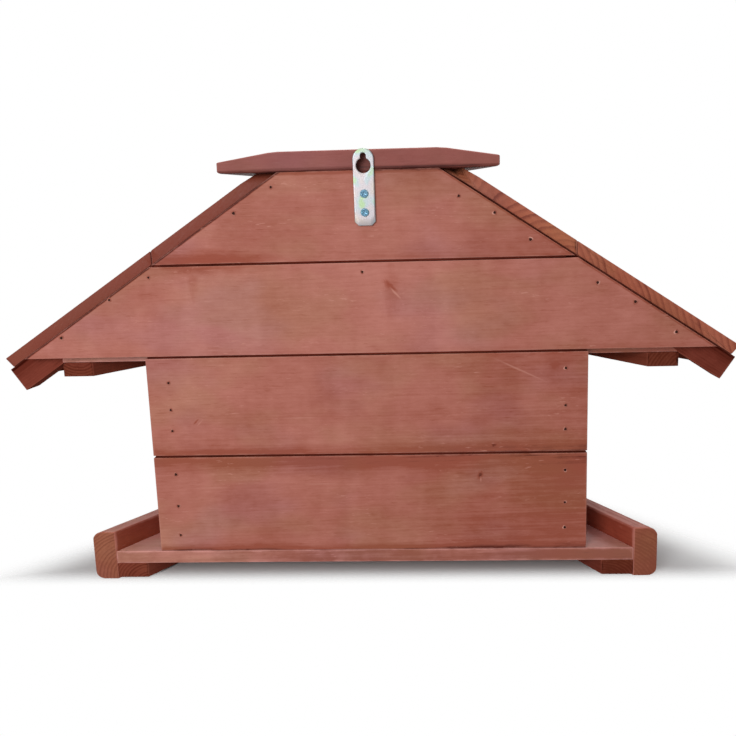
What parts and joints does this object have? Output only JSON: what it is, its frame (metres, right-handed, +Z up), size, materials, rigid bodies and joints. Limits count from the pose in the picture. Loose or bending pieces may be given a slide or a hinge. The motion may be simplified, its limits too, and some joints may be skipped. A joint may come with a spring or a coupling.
{
  "type": "wall-mounted bird feeder house",
  "caption": "Half-hexagonal wooden bird feeder house with a planked back wall and gable, hipped plank roof with cap, railed floor tray and a keyhole plate for hanging on a wall.",
  "frame": {"origin": "middle of the object's box at ground level, where the rails' undersides stand", "axes": "+Z up, +Y towards the wall that it hangs on, -Y towards the open feeding side, +X to the right seen from the front"},
  "size_m": [0.611, 0.2734, 0.3569],
  "materials": {
    "planks": "red-brown stained fir, matt",
    "tray": "red-brown stained fir, matt",
    "battens": "red-brown stained fir battens, matt",
    "roof": "red-brown stained fir, matt",
    "zinc": "zinc-plated steel"
  },
  "bodies": {
    "root": {"wall_plank_lower": "planks", "wall_plank_upper": "planks", "gable_plank_lower": "planks", "gable_plank_upper": "planks", "floor_board_back": "tray", "floor_board_middle": "tray", "floor_board_front": "tray", "floor_batten_left": "battens", "floor_batten_right": "battens", "rail_left": "tray", "rail_front": "tray", "rail_right": "tray", "post_back_left": "battens", "post_back_right": "battens", "post_front_left": "battens", "post_front_right": "battens", "ceiling_board_back": "tray", "ceiling_board_middle": "tray", "ceiling_board_front": "tray", "ceiling_batten_left": "battens", "ceiling_batten_right": "battens", "rafter_left": "battens", "rafter_right": "battens", "eave_batten_left": "battens", "eave_batten_front": "battens", "eave_batten_right": "battens", "roof_left_1": "roof", "roof_left_2": "roof", "roof_left_3": "roof", "roof_left_4": "roof", "roof_front_1": "roof", "roof_front_2": "roof", "roof_front_3": "roof", "roof_front_4": "roof", "roof_right_1": "roof", "roof_right_2": "roof", "roof_right_3": "roof", "roof_right_4": "roof", "cap": "roof", "hanger_plate": "zinc", "hanger_screws": "zinc"}
  },
  "joints": []
}
